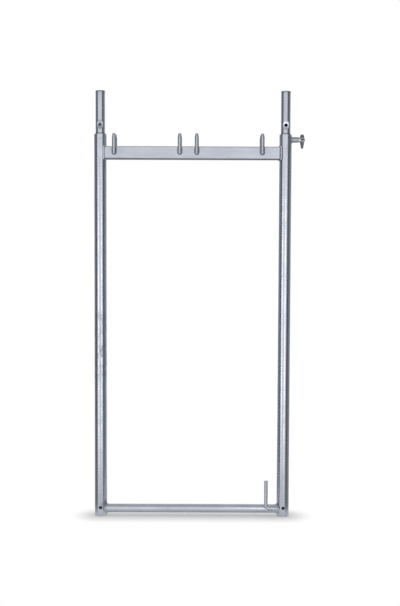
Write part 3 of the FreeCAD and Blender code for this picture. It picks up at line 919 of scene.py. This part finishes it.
def paper_material(half_width):
    """Matt studio paper: plain white, with the frame's soft shadow near its feet.

    The feet stand on a line that runs the half width to each side of the middle. The metal
    mirrors the paper beside that line, and what is behind the paper further off.
    """
    material, tree = new_material("matt_studio_paper")
    place = add(tree, "ShaderNodeTexCoord").outputs["Object"]
    axes = add(tree, "ShaderNodeSeparateXYZ", (place,)).outputs
    aside = add(tree, "ShaderNodeMath", (axes["X"],), operation="ABSOLUTE")
    past_end = add(tree, "ShaderNodeMath", (aside, half_width), operation="SUBTRACT")
    past_end = add(tree, "ShaderNodeMath", (past_end, 0.0), operation="MAXIMUM")
    apart = add(tree, "ShaderNodeCombineXYZ", (past_end, axes["Y"], 0.0))
    apart = add(tree, "ShaderNodeVectorMath", (apart,), operation="LENGTH")

    # Share of plain paper, less near the line of the feet, so that the shadow shows there
    camera, mirrored = ray_kinds(tree)
    seen = add(tree, "ShaderNodeMath", (camera, mirrored), operation="MAXIMUM")
    width = add(tree, "ShaderNodeMapRange", {"Value": mirrored, "To Min": 130 * MM, "To Max": 800 * MM})
    least = add(tree, "ShaderNodeMapRange", {"Value": mirrored, "To Min": 0.3, "To Max": 0.45})
    plain = add(
        tree, "ShaderNodeMapRange", {"Value": apart, "From Max": width, "To Min": least},
        interpolation_type="SMOOTHSTEP",
    )
    share = add(tree, "ShaderNodeMath", (seen, plain), operation="MULTIPLY")

    # Clear from below, and far from the feet for what the metal mirrors
    under = add(tree, "ShaderNodeNewGeometry").outputs["Backfacing"]
    far = add(tree, "ShaderNodeMapRange", {"Value": apart, "From Min": 100 * MM, "From Max": 160 * MM})
    far = add(tree, "ShaderNodeMath", (far, mirrored), operation="MULTIPLY")
    gone = add(tree, "ShaderNodeMath", (far, under), operation="MAXIMUM")
    studio_surface(tree, settings().studio.paper, share, gone)
    return material


def wall_material(half_width):
    """Matt wall paint: plain white for the camera, and in reflections darker beside the front.

    The dark parts give the tubes dark flanks. Bearings are from the nearer standard, which is the
    half width from the middle.
    """
    studio = settings().studio
    material, tree = new_material("matt_wall_paint")
    place = add(tree, "ShaderNodeTexCoord").outputs["Object"]
    axes = add(tree, "ShaderNodeSeparateXYZ", (place,)).outputs
    side = add(tree, "ShaderNodeMath", (axes["X"],), operation="SIGN")
    beside = add(tree, "ShaderNodeMath", (side, -half_width, axes["X"]), operation="MULTIPLY_ADD")
    ahead = add(tree, "ShaderNodeMath", (axes["Y"], -1.0), operation="MULTIPLY")
    turn = add(tree, "ShaderNodeMath", (beside, ahead), operation="ARCTAN2")
    turn = add(tree, "ShaderNodeMath", (turn, studio.bearing), operation="SUBTRACT")
    turn = add(tree, "ShaderNodeMath", (turn,), operation="ABSOLUTE")
    turn = add(tree, "ShaderNodeMath", (turn, math.pi), operation="DIVIDE")
    walls = add(tree, "ShaderNodeValToRGB", (turn,))
    stops = walls.color_ramp.elements
    for degrees, shade in (
        (43.5, studio.front), (53.5, studio.flag), (73, studio.flag),
        (100, studio.side), (132, studio.side), (148, studio.back),
    ):
        stops.new(degrees / 180).color = (*shade, 1)
    stops[0].color, stops[len(stops) - 1].color = (*studio.front, 1), (*studio.back, 1)

    # Towards grey below the floor, where the feet of the frame mirror the walls
    low = add(tree, "ShaderNodeMapRange", {
        "Value": axes["Z"], "From Min": -1300 * MM, "From Max": -1800 * MM, "To Max": 0.55,
    })
    paint = add(tree, "ShaderNodeMix", {
        "Factor": low, COLOUR_A: walls.outputs["Color"], COLOUR_B: studio.side,
    }, data_type="RGBA")
    camera, mirrored = ray_kinds(tree)
    colour = add(tree, "ShaderNodeMix", {
        "Factor": camera, COLOUR_A: paint, COLOUR_B: studio.paper,
    }, data_type="RGBA")
    seen = add(tree, "ShaderNodeMath", (camera, mirrored), operation="MAXIMUM")
    outside = add(tree, "ShaderNodeNewGeometry").outputs["Backfacing"]
    studio_surface(tree, colour, seen, outside)
    return material


def lamp(name, place, target, width, height, brightness):
    """Soft rectangular lamp with a face of the given brightness."""
    data = bpy.data.lights.new(name, "AREA")
    data.shape = "RECTANGLE"
    data.size = width
    data.size_y = height
    data.energy = brightness * math.pi * width * height
    light = bpy.data.objects.new(name, data)
    light.location = place
    light.rotation_euler = (target - place).to_track_quat("-Z", "Y").to_euler()
    bpy.context.scene.collection.objects.link(light)


def photo_camera():
    """Camera at the photo's place and angle."""
    studio = settings().studio
    data = bpy.data.cameras.new("photo_camera")
    data.lens = studio.lens
    camera = bpy.data.objects.new("photo_camera", data)
    yaw, pitch, roll = studio.camera_yaw, studio.camera_pitch, studio.camera_roll
    level = Vector((math.sin(yaw), math.cos(yaw), 0))
    ahead = level * math.cos(pitch) - Vector((0, 0, math.sin(pitch)))
    flat = Vector((math.cos(yaw), -math.sin(yaw), 0))
    upright = flat.cross(ahead)
    right = flat * math.cos(roll) + upright * math.sin(roll)
    up = upright * math.cos(roll) - flat * math.sin(roll)
    turn = Matrix((right, up, -ahead)).transposed().to_4x4()
    camera.matrix_world = Matrix.Translation(studio.camera_place) @ turn
    bpy.context.scene.collection.objects.link(camera)
    return camera


class SCAFFOLD_OT_stage(bpy.types.Operator):
    """Set up the floor, walls, lamps and camera"""

    bl_idname = "scaffold.stage"
    bl_label = "Stage"

    def execute(self, context):
        studio = settings().studio
        scene = context.scene
        scene.view_settings.view_transform = "Standard"
        left, right = tube_of("inner_standard")[0], tube_of("outer_standard")[0]
        centre = Vector(((left + right) / 2, 0, 0))
        half_width = (right - left) / 2
        just_below = CAD_BOX[0][2] - 0.5 * MM
        ground = centre + Vector((0, 0, just_below))
        stage_piece(
            "studio_floor", ground, paper_material(half_width), bmesh.ops.create_circle,
            cap_ends=True, radius=studio.radius,
        )
        stage_piece(
            "studio_walls", ground, wall_material(half_width), bmesh.ops.create_cone,
            cap_ends=False, radius1=studio.radius, radius2=studio.radius, depth=studio.wall_height,
        )

        world = bpy.data.worlds.new("studio_ceiling")
        world.use_nodes = True
        world.node_tree.nodes.clear()
        ray = add(world.node_tree, "ShaderNodeLightPath").outputs["Is Camera Ray"]
        glow = add(world.node_tree, "ShaderNodeMapRange", {"Value": ray, "To Min": studio.ceiling})
        sky = add(world.node_tree, "ShaderNodeBackground", {"Color": (1, 1, 1), "Strength": glow})
        add(world.node_tree, "ShaderNodeOutputWorld", {"Surface": sky})
        scene.world = world

        # The lamps reach below the floor, through which the feet of the frame mirror them
        aim = centre + Vector((0, 0, studio.lamp_rise))
        for name, bearing in (("key_left", studio.left_bearing), ("key_right", studio.right_bearing)):
            spot = aim + Vector((math.sin(bearing), -math.cos(bearing), 0)) * studio.lamp_distance
            lamp(name, spot, aim, studio.lamp_width, studio.lamp_height, studio.key)

        scene.camera = photo_camera()
        return {"FINISHED"}


OPERATORS = (
    SCAFFOLD_OT_standards,
    SCAFFOLD_OT_spigots,
    SCAFFOLD_OT_crossbars,
    SCAFFOLD_OT_pins,
    SCAFFOLD_OT_stud,
    SCAFFOLD_OT_finger,
    SCAFFOLD_OT_joint_beads,
    SCAFFOLD_OT_pin_beads,
    SCAFFOLD_OT_stage,
)


class SCAFFOLD_PT_panel(bpy.types.Panel):
    """Steps that finish the scaffold frame"""

    bl_idname = "SCAFFOLD_PT_panel"
    bl_label = "Scaffold frame"
    bl_space_type = "VIEW_3D"
    bl_region_type = "UI"
    bl_category = "Scaffold"

    def draw(self, context):
        for operator in OPERATORS:
            self.layout.operator(operator.bl_idname)


CLASSES = (ZincFinish, WeldFinish, FingerFinish, Studio, ScaffoldSettings, *OPERATORS, SCAFFOLD_PT_panel)


def register():
    for cls in CLASSES:
        bpy.utils.register_class(cls)
    bpy.types.Scene.scaffold_frame = PointerProperty(type=ScaffoldSettings)


def unregister():
    del bpy.types.Scene.scaffold_frame
    for cls in reversed(CLASSES):
        bpy.utils.unregister_class(cls)


def main():
    register()
    for operator in OPERATORS:
        group, name = operator.bl_idname.split(".")
        getattr(getattr(bpy.ops, group), name)()


if __name__ == "__main__":
    main()
